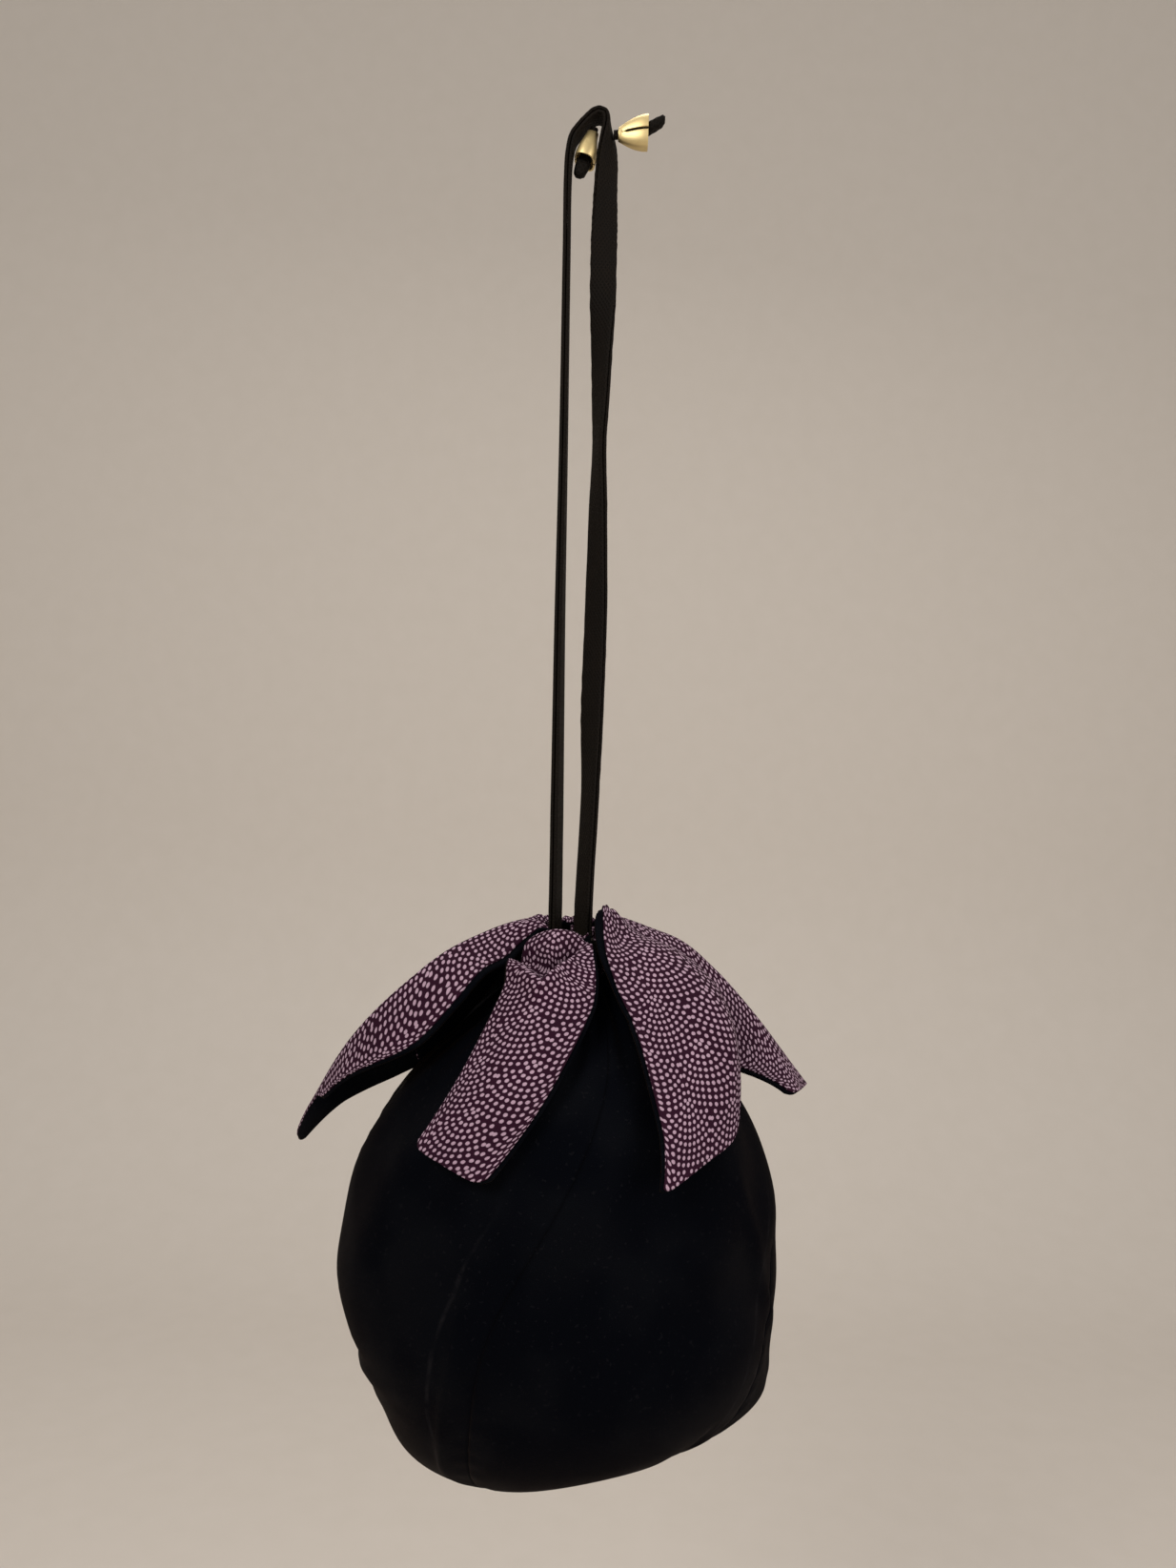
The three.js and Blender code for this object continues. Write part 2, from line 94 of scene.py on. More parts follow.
# %% Helpers
WELD = 0.01


def mix(a, b, share):
    return a + (b - a) * share


def smooth(x, low, high):
    share = np.clip((x - low) / (high - low), 0, 1)
    return share * share * (3 - 2 * share)


def bell(x, centre, width):
    return np.exp(-(((x - centre) / width) ** 2))


def squared(wave, power):
    """A wave from -1 to 1 that gets fuller, towards a square one, as power falls below 1."""
    return np.sign(wave) * np.abs(wave) ** power


def polar(radius, azimuth, z):
    """Places round the bag's upright axis: azimuth 0 is the front and 90 the right, in degrees."""
    radius, turn, z = np.broadcast_arrays(radius, np.radians(azimuth), z)
    return np.stack([radius * np.sin(turn), -radius * np.cos(turn), z], axis=-1)


def unit(vectors):
    return vectors / np.linalg.norm(vectors, axis=-1, keepdims=True)


def run_lengths(points):
    """The distance run along a line at each of its points."""
    return np.concatenate([[0], np.cumsum(np.linalg.norm(np.diff(points, axis=0), axis=1))])


def spline(points, share, pull=0.0):
    """Places on a smooth curve through points. A pull of 0.5 evens out points at unequal distances."""
    points = np.asarray(points, float)
    padded = np.concatenate([points[:1], points, points[-1:]])
    if pull:
        padded[0] = 2 * points[0] - points[1]
        padded[-1] = 2 * points[-1] - points[-2]
    place = np.clip(share, 0, 1) * (len(points) - 1)
    first = np.minimum(place.astype(int), len(points) - 2)
    w = (place - first)[..., None]
    a, b, c, d = (padded[first + k] for k in range(4))
    pairs = ((a, b), (b, c), (c, d))
    before, here, after = (np.linalg.norm(q - p, axis=-1, keepdims=True) ** pull for p, q in pairs)
    start = here * ((b - a) / before - (c - a) / (before + here) + (c - b) / here)
    end = here * ((c - b) / here - (d - b) / (here + after) + (d - c) / after)
    square = 3 * (c - b) - 2 * start - end
    cube = 2 * (b - c) + start + end
    return b + w * start + w**2 * square + w**3 * cube


def cloth_patch(bm, columns, rows, place, flat):
    """Bend one grid: place gives its points in millimetres, and flat its cloth lengths in millimetres."""
    verts = bmesh.ops.create_grid(bm, x_segments=columns, y_segments=rows, size=0.5)["verts"]
    u, v = (np.array([vert.co[axis] for vert in verts]) + 0.5 for axis in (0, 1))
    for vert, point in zip(verts, place(u, v) * MM):
        vert.co = point
    lengths = dict(zip(verts, flat(u, v) * MM))
    layer = bm.loops.layers.uv.get("cloth") or bm.loops.layers.uv.new("cloth")
    for face in {face for vert in verts for face in vert.link_faces}:
        for loop in face.loops:
            loop[layer].uv = lengths[loop.vert]


def even_cloth(width, length):
    """Cloth lengths in millimetres that grow evenly over a grid."""
    return lambda u, v: np.stack([u * width, v * length], axis=-1)


def weld(bm):
    bmesh.ops.remove_doubles(bm, verts=bm.verts, dist=WELD * MM)


def close_tube(bm):
    """Join a tube's two long edges and fill its ends."""
    weld(bm)
    bmesh.ops.holes_fill(bm, edges=[edge for edge in bm.edges if edge.is_boundary], sides=0)
    bmesh.ops.recalc_face_normals(bm, faces=bm.faces)


def mesh_object(name, bm, material):
    mesh = bpy.data.meshes.new(name)
    bm.to_mesh(mesh)
    bm.free()
    mesh.shade_smooth()
    mesh.materials.append(material)
    made = bpy.data.objects.new(name, mesh)
    scene.collection.objects.link(made)
    return made


def make_piece(name, bm, material, nodes, thickness=0.0):
    """Turn a bmesh into a piece that stands for CAD nodes, with a wall of the given thickness behind it."""
    piece = mesh_object(name, bm, material)
    if thickness:
        wall = piece.modifiers.new("wall", "SOLIDIFY")
        wall.thickness = thickness * MM
        wall.offset = -1
    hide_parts(*nodes)
    return piece


def layer_area(piece):
    return sum(face.area for face in piece.data.polygons)

# %% [markdown]
# ## Shader maths in plain Python
#
# A material could be wired by hand, node by node. Here one small class wraps a socket, so that an expression
# such as `1 - mask` adds its own Math nodes, and every other node comes from one method.

# %% Socket class
class Field:
    def __init__(self, tree, socket=None):
        self.tree = tree
        self.socket = socket

    def node(self, kind, sockets=None, output=0, **settings):
        made = self.tree.nodes.new(kind)
        for name, setting in settings.items():
            setattr(made, name, setting)
        for name, value in (sockets or {}).items():
            if isinstance(value, Field):
                self.tree.links.new(value.socket, made.inputs[name])
            else:
                made.inputs[name].default_value = value
        return Field(self.tree, made.outputs[output])

    def math(self, operation, first, second=0.0):
        return self.node("ShaderNodeMath", {0: first, 1: second}, operation=operation)

    def __add__(self, other):
        return self.math("ADD", self, other)

    def __sub__(self, other):
        return self.math("SUBTRACT", self, other)

    def __rsub__(self, other):
        return self.math("SUBTRACT", other, self)

    def __mul__(self, other):
        return self.math("MULTIPLY", self, other)

    def __truediv__(self, other):
        return self.math("DIVIDE", self, other)

    def __lt__(self, other):
        return self.math("LESS_THAN", self, other)

    __radd__ = __add__
    __rmul__ = __mul__

    def step(self, low, high):
        sockets = {"Value": self, "From Min": low, "From Max": high}
        return self.node("ShaderNodeMapRange", sockets, interpolation_type="SMOOTHSTEP")

    def choose(self, low, high):
        return low + self * (high - low)

    def colours(self, low, high):
        sockets = {0: self, 6: low, 7: high}
        return self.node("ShaderNodeMix", sockets, output=2, data_type="RGBA")


def linear(*channels):
    """A colour as a screen shows it, 0 to 255, as Blender's linear numbers."""
    shares = [channel / 255 for channel in channels]
    return (*(s / 12.92 if s <= 0.04045 else ((s + 0.055) / 1.055) ** 2.4 for s in shares), 1.0)


def new_material(name, **constants):
    """A Principled material with its constant sockets: returns it, its shader and a Field of its tree."""
    material = bpy.data.materials.new(name)
    material.use_nodes = True
    shader = material.node_tree.nodes["Principled BSDF"]
    for socket, value in constants.items():
        shader.inputs[socket.replace("_", " ")].default_value = value
    return material, shader, Field(material.node_tree)


def connect(field, shader, **sockets):
    for socket, value in sockets.items():
        field.tree.links.new(value.socket, shader.inputs[socket.replace("_", " ")])


def object_place(field):
    return field.node("ShaderNodeTexCoord", output=3)


def cloth_map(field):
    """The cloth's UV map, then the way across it and the way along it, in metres."""
    cloth = field.node("ShaderNodeUVMap", uv_map="cloth")
    across = field.node("ShaderNodeSeparateXYZ", {0: cloth})
    along = Field(field.tree, across.socket.node.outputs[1])
    return cloth, across, along


def noise(field, coordinates, scale, detail):
    return field.node("ShaderNodeTexNoise", {"Vector": coordinates, "Scale": scale, "Detail": detail})


def ribs(field, coordinates, scale, direction="X"):
    sockets = {"Vector": coordinates, "Scale": scale}
    return field.node("ShaderNodeTexWave", sockets, output=1, bands_direction=direction)


def bump(field, height, distance, strength):
    return field.node("ShaderNodeBump", {"Height": height, "Distance": distance, "Strength": strength})

# %% [markdown]
# ## Black velvet
#
# Velvet is a deep pile that swallows light looked at from the front and glows a little brown at the rim,
# where the sides of the threads show. Sheen on the shader gives that rim. Large soft noise stands for the
# places where the pile has been stroked another way, and fine noise gives the pile itself. A faint lighter
# line slants down the front panel: a painted highlight, where a crease in the pile catches the light.

# %% Velvet
# These constants place a painted highlight: a lighter line where a crease in the front panel catches the
# light.
HIGHLIGHT_LINE = 129.6
HIGHLIGHT_SLOPE = 74.6
HIGHLIGHT_WANDER = 5
HIGHLIGHT_EDGE = (0.2, 1.6)
HIGHLIGHT_FADE_IN = (0.02, 0.06)
HIGHLIGHT_FADE_OUT = (0.14, 0.19)
PILE_DEPTH = 0.00035

velvet, shader, field = new_material(
    "velvet",
    Sheen_Weight=0.05,
    Sheen_Roughness=0.36,
    Sheen_Tint=linear(150, 118, 96),
    Specular_IOR_Level=0.02,
)
place = object_place(field)
stroked = noise(field, place, 26, 2.0).step(0.4, 0.64)
pile = noise(field, place, 1900, 2.0)
tone = stroked.colours(linear(3, 4, 8), linear(6, 7, 11))
flecks = noise(field, place, 620, 1.0).step(0.66, 0.74)
cloth, across, along = cloth_map(field)
# Painted highlight along the crease: a lighter line slanting down the front panel, faded in and out along it.
wander = (noise(field, cloth, 60, 2.0) - 0.5) * HIGHLIGHT_WANDER
aside = across * METRE + along * HIGHLIGHT_SLOPE - HIGHLIGHT_LINE + wander
line = 1 - field.math("ABSOLUTE", aside).step(*HIGHLIGHT_EDGE)
painted_highlight = line * along.step(*HIGHLIGHT_FADE_IN) * (1 - along.step(*HIGHLIGHT_FADE_OUT))
painted_highlight = painted_highlight * noise(field, cloth, 150, 2.0).step(0.3, 0.7)
connect(
    field,
    shader,
    # Lighter flecks of pile and the painted highlight both lift the colour towards this grey.
    Base_Color=(flecks * 0.3 + painted_highlight * 0.8).colours(tone, linear(24, 23, 26)),
    Roughness=stroked.choose(0.86, 0.72),
    Normal=bump(field, pile, PILE_DEPTH, 0.6),
)
print("velvet made")

# %% [markdown]
# ## The printed cloth
#
# The petals are a plum cotton with lilac dots. The dots stand on arcs, the arcs fill fans, and the fans
# overlap like fish scales, each row of them half a fan aside. An image could hold that, but the rule is
# short: for the fans round a point, find the nearest arc and the nearest dot on it, and keep that dot unless
# its middle lies under a fan of the row above. The cloth's own UV map, in metres, is the coordinate, so the
# print bends with each petal.

# %% Print
FAN_WIDTH = 23.6
FAN_RISE = 22.0
DOT_PITCH = 2.58
FAN_ARCS = 9
FAN_REACH = (FAN_ARCS + 0.6) * DOT_PITCH
DOT_RADIUS = 0.81
DOT_EDGE = (DOT_RADIUS - 0.22, DOT_RADIUS + 0.14)
DOT_RAGGEDNESS = 0.3
WANDER_ACROSS = 0.9
WANDER_ALONG = 0.8
WEAVE_SCALE = 420.0
WEAVE_DEPTH = 0.0002

printed, shader, field = new_material(
    "print",
    Sheen_Weight=0.02,
    Sheen_Roughness=0.5,
    Sheen_Tint=linear(190, 160, 180),
    Specular_IOR_Level=0.08,
)
cloth, across, along = cloth_map(field)
wander = noise(field, cloth, 70, 1.0) - 0.5
across = across * METRE + wander * WANDER_ACROSS
along = along * METRE + wander * WANDER_ALONG
row = field.math("FLOOR", along / FAN_RISE)
ragged = (noise(field, cloth, 800, 1.0) - 0.5) * DOT_RAGGEDNESS


def span(field, east, north):
    return field.math("SQRT", east * east + north * north)


def fan_dots(field, row_back):
    """1 on the dots of the fan that lies so many rows nearer the petal's root."""
    index = row - row_back
    aside = field.math("FLOORED_MODULO", index, 2.0) * (FAN_WIDTH / 2)
    shifted = across - aside
    east = shifted - field.math("ROUND", shifted / FAN_WIDTH) * FAN_WIDTH
    north = along - index * FAN_RISE
    arc = field.math("ROUND", span(field, east, north) / DOT_PITCH)
    radius = field.math("MAXIMUM", arc * DOT_PITCH, 0.1)
    reach = field.math("MINIMUM", field.math("DIVIDE", FAN_WIDTH / 2, radius), 1.0)
    edge = field.math("ARCSINE", reach)
    steps = field.math("MAXIMUM", field.math("ROUND", edge * arc - 0.5), 0.0) + 0.5
    step = edge / steps
    angle = field.math("ROUND", field.math("ARCTAN2", east, north) / step) * step
    dot_east = field.math("SINE", angle) * arc * DOT_PITCH
    dot_north = field.math("COSINE", angle) * arc * DOT_PITCH
    under = span(field, FAN_WIDTH / 2 - field.math("ABSOLUTE", dot_east), dot_north + FAN_RISE)
    uncovered = 1 - (under < FAN_REACH)
    inside = (arc < FAN_ARCS + 0.5) * (field.math("ABSOLUTE", dot_east) < FAN_WIDTH / 2)
    from_dot = span(field, east - dot_east, north - dot_north)
    return (1 - (from_dot + ragged).step(*DOT_EDGE)) * uncovered * inside


dot = field.math("MAXIMUM", fan_dots(field, 0), fan_dots(field, -1))
dot = field.math("MAXIMUM", fan_dots(field, 1), dot)
faded = noise(field, cloth, 40, 2.0)
ground = faded.colours(linear(28, 6, 20), linear(44, 12, 33))
ink = faded.colours(linear(150, 124, 140), linear(177, 150, 166))
warp = ribs(field, cloth, WEAVE_SCALE, "X")
weft = ribs(field, cloth, WEAVE_SCALE, "Y")
connect(
    field,
    shader,
    Base_Color=dot.colours(ground, ink),
    Roughness=dot.choose(0.78, 0.88),
    Normal=bump(field, warp * weft + dot * 0.5, WEAVE_DEPTH, 0.5),
)
print("print made")

# %% [markdown]
# ## Braid, lining and gold
#
# The straps are a tight black braid with slanting ribs. The lining is a plain black weave. The two caps are
# a satin gold-coloured sheet metal, brushed along their length and a little duller where they are handled.

# %% Braid
BRAID_SLANT = 0.6
BRAID_SCALE = 230.0
BRAID_DEPTH = 0.0003

braid, shader, field = new_material(
    "braid",
    Sheen_Weight=0.03,
    Sheen_Roughness=0.5,
    Sheen_Tint=linear(150, 125, 100),
    Specular_IOR_Level=0.08,
)
cloth = cloth_map(field)[0]
slanted = [
    field.node("ShaderNodeMapping", {"Vector": cloth, "Rotation": (0, 0, turn)})
    for turn in (BRAID_SLANT, -BRAID_SLANT)
]
threads = field.math("MAXIMUM", *(ribs(field, way, BRAID_SCALE) for way in slanted))
worn = noise(field, cloth, 90, 3.0)
connect(
    field,
    shader,
    Base_Color=(threads * worn).colours(linear(9, 7, 5), linear(25, 19, 14)),
    Roughness=worn.choose(0.62, 0.82),
    Normal=bump(field, threads, BRAID_DEPTH, 0.8),
)

# %% Lining
SLUB_DEPTH = 0.0003

lining, shader, field = new_material("lining", Specular_IOR_Level=0.2)
slub = noise(field, object_place(field), 340, 3.0)
connect(
    field,
    shader,
    Base_Color=slub.colours(linear(9, 9, 12), linear(19, 18, 22)),
    Roughness=slub.choose(0.7, 0.85),
    Normal=bump(field, slub, SLUB_DEPTH, 0.5),
)

# %% Gold
BRUSH_STRETCH = (60, 4, 1)
BRUSH_DEPTH = 0.00004

gold, shader, field = new_material("gold", Metallic=1.0)
cloth = cloth_map(field)[0]
drawn_out = field.node("ShaderNodeMapping", {"Vector": cloth, "Scale": BRUSH_STRETCH})
brushed = noise(field, drawn_out, 45, 4.0)
handled = noise(field, cloth, 160, 2.0)
connect(
    field,
    shader,
    Base_Color=handled.colours(linear(204, 181, 128), linear(223, 203, 152)),
    Roughness=brushed.choose(0.42, 0.56),
    Normal=bump(field, brushed, BRUSH_DEPTH, 0.35),
)
print("braid, lining and gold made")

# %% [markdown]
# ## The straps
#
# Each drawstring is a flat strap that leaves the mouth, runs up beside the other one, turns over the hang
# point and comes down again, twisting on its way. The two lie on each other like two layers of one ribbon.
# A curve with a flat bevel would twist by itself, so the strap is laid along its route ring by ring, with the
# turn of its width given at each point.

# %% Strap route
STRAP_WIDTH = 11.0
STRAP_THICKNESS = 1.6
STRAP_SQUARENESS = 0.4
STRAP_COLUMNS = 24
SELVEDGE_WAVES = [(0.018, 2.1), (0.012, 0.73)]
LAYER_OFFSET = 0.85
MOUTH_DROP = 341.0
CHANNEL_DEPTH = 7.5
CHANNEL_RADIUS = 13.9
STRAP_ROUTE = [
    (-8.2, -349, 75), (-8.3, -330, 75), (-9, -282, 77), (-10.1, -210, 82), (-10.8, -138, 87), (-12, -54, 90),
    (-12.4, -26, 90), (-12, -15.5, 90), (-10.6, -9, 90), (-7.8, -5, 90), (-4.8, -1.6, 90), (-2.4, 0.6, 90),
    (0, 1.5, 90), (2.4, 0.5, 90), (3.5, -2.6, 84), (4, -8.5, 66), (3.9, -16, 50), (3.6, -30, 40),
    (3.6, -42, 28), (3.6, -54, 12), (3.8, -72, -16), (4, -90, -44), (4.2, -122, -64), (4.2, -138, -72),
    (4.4, -162, -60), (4.9, -210, -46), (4.6, -248, -44), (4.8, -282, -60), (3.5, -330, -60),
    (3.5, -349, -60),
]


def strap_frame(centres, widths):
    """The width and the face direction of a strap along its centre line."""
    along = unit(np.gradient(centres, axis=0))
    side = unit(widths - along * np.sum(widths * along, axis=-1, keepdims=True))
    return side, np.cross(along, side)


def flat_section(u):
    """A rounded flat section, 1 wide and 1 thick to each side."""
    turn = 2 * np.pi * u
    return tuple(squared(wave(turn), STRAP_SQUARENESS) for wave in (np.cos, np.sin))


def strap_piece(name, centres, side, face, material, nodes):
    """A flat strap as a closed tube of flat rings."""
    lengths = run_lengths(centres)
    last = len(centres) - 1

    def place(u, v):
        ring = np.rint(v * last).astype(int)
        broad, thin = flat_section(u)
        selvedge = sum((share * np.sin(lengths[ring] * rate) for share, rate in SELVEDGE_WAVES), 1)
        wide = (broad * selvedge * STRAP_WIDTH / 2)[:, None] * side[ring]
        return centres[ring] + wide + (thin * STRAP_THICKNESS / 2)[:, None] * face[ring]

    def flat(u, v):
        ring = np.rint(v * last).astype(int)
        return np.stack([flat_section(u)[0] * STRAP_WIDTH / 2, lengths[ring]], axis=-1)

    bm = bmesh.new()
    cloth_patch(bm, STRAP_COLUMNS, last, place, flat)
    close_tube(bm)
    piece = make_piece(name, bm, material, nodes)
    return piece, lengths[-1]

# %% [markdown]
# ### The two loops
#
# The route was settled in the CAD model, so its points are repeated here. The outer layer is the left
# drawstring and the inner one the right drawstring. Each runs from where it leaves the left slit of the
# mouth to where it goes back in at the right one.

# %% Loops
STEPS_PER_POINT = 8
shares = np.linspace(0, 1, (len(STRAP_ROUTE) - 1) * STEPS_PER_POINT + 1)
middle = spline([(x, 0, z) for x, z, turn in STRAP_ROUTE], shares, pull=0.5)
turns = np.radians(spline([(turn,) for x, z, turn in STRAP_ROUTE], shares)[:, 0])
loop_side, loop_face = strap_frame(middle, np.stack([np.cos(turns), np.sin(turns), 0 * turns], axis=-1))
loops = {}
for name, layer in (("left", LAYER_OFFSET), ("right", -LAYER_OFFSET)):
    centres = middle + layer * loop_face
    piece, length = strap_piece(
        f"{name}_loop_braid", centres, loop_side, loop_face, braid, [f"{name}_drawstring_loop"]
    )
    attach(piece, "drawstrings")
    loops[name] = (piece, centres, length)
    print(name, "loop", round(length, 1), "mm")

# %% [markdown]
# ### The runs through the collar
#
# Inside the mouth's tunnel each strap goes round its half of the mouth, standing on its edge. Only short bits
# of it show at the two slits.

# %% Channel straps
SLIT_AZIMUTH = 27.0
HALVES = {"left": SLIT_AZIMUTH - 180, "right": SLIT_AZIMUTH}
LEADS = {
    "left": ([(-8.95, 5.95), (-8, 8.2), (-7.2, 10.4)], [(4.33, -11.9), (5, -8.5), (5.75, -5.8)]),
    "right": ([(7.15, -5), (7.3, -8), (7.07, -10.5)], [(-4.33, 11.9), (-5.6, 8.6), (-7.45, 5.95)]),
}
CHANNEL_TURN = np.linspace(13, 167, 9)
CHANNEL_RINGS = 90

for name, (lead_in, lead_out) in LEADS.items():
    bend = polar(CHANNEL_RADIUS, HALVES[name] + CHANNEL_TURN, 0.0)[:, :2]
    route = np.concatenate([lead_in, bend, lead_out])
    route = np.column_stack([route, np.full(len(route), -MOUTH_DROP - CHANNEL_DEPTH)])
    centres = spline(route, np.linspace(0, 1, CHANNEL_RINGS), pull=0.5)
    side, face = strap_frame(centres, np.tile([0.0, 0.0, 1.0], (len(centres), 1)))
    piece, length = strap_piece(
        f"{name}_channel_braid", centres, side, face, braid, [f"{name}_drawstring_channel"]
    )
    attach(piece, f"mouth_{name}")
    print(name, "channel", round(length, 1), "mm")

# %% [markdown]
# ### Tails and gold caps
#
# Each drawstring ends in a tail that goes through a bell cap and comes out as a short stub. The tail is a
# tube whose section changes along its length. The cap is bent from sheet metal: two half shells, parted by a
# slit down the middle of both faces, that open from a round neck to a wide rim.

# %% Tails
TAIL_SECTIONS = [
    (0, 1.75, 1.75), (6, 1.75, 1.75), (8, 2.2, 3.4), (11, 2.2, 3.4), (12.5, 2.6, 2.4), (15.5, 3.1, 2.4),
    (18.5, 2.8, 2.4), (21.5, 2.2, 2.1),
]
TAILS = {
    "left": ((-2, 0, -4.1), (-0.25, 0, -0.97), (0, 1, 0), (-0.1, -0.1, 0)),
    "right": ((6.2, -0.6, -6.8), (0.995, 0, 0.1), (0, 0, 1), (0, 0, 0.7)),
}
STUB_START = 11.5
STUB_BEND = 0.7
TAIL_LENGTH = 21.5
TAIL_SQUARENESS = 0.7
TAIL_PINCH = 0.35
TAIL_PINCH_LENGTH = 1.2
TAIL_RIPPLE = 0.12
TAIL_GIRTH = 14
TAIL_GRID = (28, 60)


def tail_piece(name):
    base, along, broad, bend = (np.array(v, float) for v in TAILS[name])
    along = unit(along)
    narrow = np.cross(broad, along)
    stations, wide, thick = np.array(TAIL_SECTIONS, float).T

    def place(u, v):
        distance = v * TAIL_LENGTH
        turn = 2 * np.pi * u
        pinch = 1 - TAIL_PINCH * smooth(distance, TAIL_LENGTH - TAIL_PINCH_LENGTH, TAIL_LENGTH)
        x = np.interp(distance, stations, wide) * pinch * squared(np.cos(turn), TAIL_SQUARENESS)
        y = np.interp(distance, stations, thick) * pinch * squared(np.sin(turn), TAIL_SQUARENESS)
        y = y + TAIL_RIPPLE * np.sin(distance * 2.4) * smooth(distance, 12, 15) * np.cos(turn)
        middle = base + distance[:, None] * along
        middle = middle + STUB_BEND * np.maximum(0, distance - STUB_START)[:, None] * bend
        return middle + x[:, None] * narrow + y[:, None] * broad

    bm = bmesh.new()
    cloth_patch(bm, *TAIL_GRID, place, even_cloth(TAIL_GIRTH, TAIL_LENGTH))
    close_tube(bm)
    piece = make_piece(f"{name}_tail_braid", bm, braid, [f"{name}_drawstring_tail"])
    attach(piece, "drawstrings")
    return piece


# %% Caps
CAP_START = 2.0
CAP_LENGTH = 12.5
CAP_NECK_RADIUS = 2.5
CAP_HOLE_RADIUS = 2.0
CAP_RIM_SPLAY = 7.4
CAP_RIM_HALF_WIDTH = 4.4
CAP_WALL = 0.8
CAP_SLIT = 1.1
CAP_LIP = 0.06
CAP_SQUARENESS = 0.8
CAP_HALF_GIRTH = 18
CAP_GRID = (28, 40)
CAP_EDGE = 0.18
CAP_EDGE_ANGLE = math.radians(50)


def cap_piece(name):
    base, along, broad = (np.array(v, float) for v in TAILS[name][:3])
    along = unit(along)
    narrow = np.cross(broad, along)
    bm = bmesh.new()
    for half in (1, -1):

        def place(u, v, half=half):
            share = np.clip((1 - v - CAP_LIP) / (1 - CAP_LIP), 0, 1)
            rim = np.sin(share * np.pi / 2) ** 0.9
            flare = smooth(share, 0.1, 0.9) ** 0.7
            collar = mix(CAP_HOLE_RADIUS, CAP_NECK_RADIUS, np.clip((1 - v) / CAP_LIP, 0, 1) ** 0.5)
            splay = collar + (CAP_RIM_SPLAY - CAP_NECK_RADIUS) * rim
            width = collar + (CAP_RIM_HALF_WIDTH - CAP_NECK_RADIUS) * flare
            gap = CAP_SLIT / 2 * smooth(share, 0.16, 0.3)
            turn = (u - 0.5) * np.pi
            reach = gap + (splay - gap) * squared(np.cos(turn), CAP_SQUARENESS)
            sideways = width * squared(np.sin(turn), CAP_SQUARENESS)
            middle = base + (CAP_START + share * CAP_LENGTH)[:, None] * along
            return middle + (half * reach)[:, None] * broad + (half * sideways)[:, None] * narrow

        cloth_patch(bm, *CAP_GRID, place, even_cloth(CAP_HALF_GIRTH, CAP_LENGTH))
    weld(bm)
    bmesh.ops.recalc_face_normals(bm, faces=bm.faces)
    outside = bm.faces[:][0]
    middle = base + (CAP_START + CAP_LENGTH / 2) * along
    if np.dot(np.array(outside.normal), np.array(outside.calc_center_median()) / MM - middle) < 0:
        bmesh.ops.reverse_faces(bm, faces=bm.faces)
    piece = make_piece(f"{name}_cap_gold", bm, gold, [f"{name}_cap"], thickness=CAP_WALL)
    edge = piece.modifiers.new("edge", "BEVEL")
    edge.width = CAP_EDGE * MM
    edge.segments = 2
    edge.limit_method = "ANGLE"
    edge.angle_limit = CAP_EDGE_ANGLE
    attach(piece, f"cap_{name}")
    return piece


for name, (loop, centres, length) in loops.items():
    tail = tail_piece(name)
    cap = cap_piece(name)
    tuple(centres[0] * MM)
    round(length * MM, 3)
    [tuple(point) for point in centres * MM]
print("tails and caps made")

# %% [markdown]
# ## The body
#
# Four panels are sewn edge to edge, pulled in to the neck and turned a little on their way down, so that the
# seams run as spirals. The plain shape comes from the CAD model: an upper profile that swells to the waist
# and a lower one that rounds off, flattened from front to back, leaning and tilted. On top of it comes what
# only cloth has: gathers under the collar, puckered seams, soft folds, and the creases of a bag that has
# been laid flat. Moving the points by formula keeps all of that in one place, where a sculpted mesh would
# hide it.

# %% Body shape
NECK_DEPTH = 15.6
NECK_RADIUS = 17.0
HALF_WIDTH = 89.5
HALF_DEPTH = 76.0
WIDEST_DEPTH = 133.0
BASE_DEPTH = 220.0
SHOULDER_POWER = 2.3
BASE_POWER = 2.5
BASE_TILT = 12.0
TILT_START = 60.0
WAIST_LEAN = -2.0
BASE_LEAN = 10.0
LEAN_START = 125.0
LEAN_END = 190.0
BASE_FLAT = 6.0
BASE_FLAT_START = 192.0
BASE_FLAT_MIDDLE = 16.0
BASE_FLAT_REACH = 36.0
TWIST_PER_MM = 0.36
GORE_ANGLE = 90.0
GORE_SWELL = 1.2
VELVET_THICKNESS = 1.4


def twist(depth):
    return -TWIST_PER_MM * (depth - NECK_DEPTH)


def profile(t):
    """The depth below the mouth and the radius: t is 0 at the neck, 1 at the waist and 2 at the base."""
    upper = np.clip(t, 0, 1)
    lower = np.clip(t - 1, 0, 1) * np.pi / 2
    above = t <= 1
    depth_low = mix(WIDEST_DEPTH, BASE_DEPTH, np.sin(lower) ** (2 / BASE_POWER))
    radius_low = HALF_WIDTH * np.maximum(np.cos(lower), 0) ** (2 / BASE_POWER)
    depth = np.where(above, mix(NECK_DEPTH, WIDEST_DEPTH, upper), depth_low)
    radius_up = mix(NECK_RADIUS, HALF_WIDTH, 1 - (1 - upper) ** SHOULDER_POWER)
    radius = np.where(above, radius_up, radius_low)
    return depth, radius


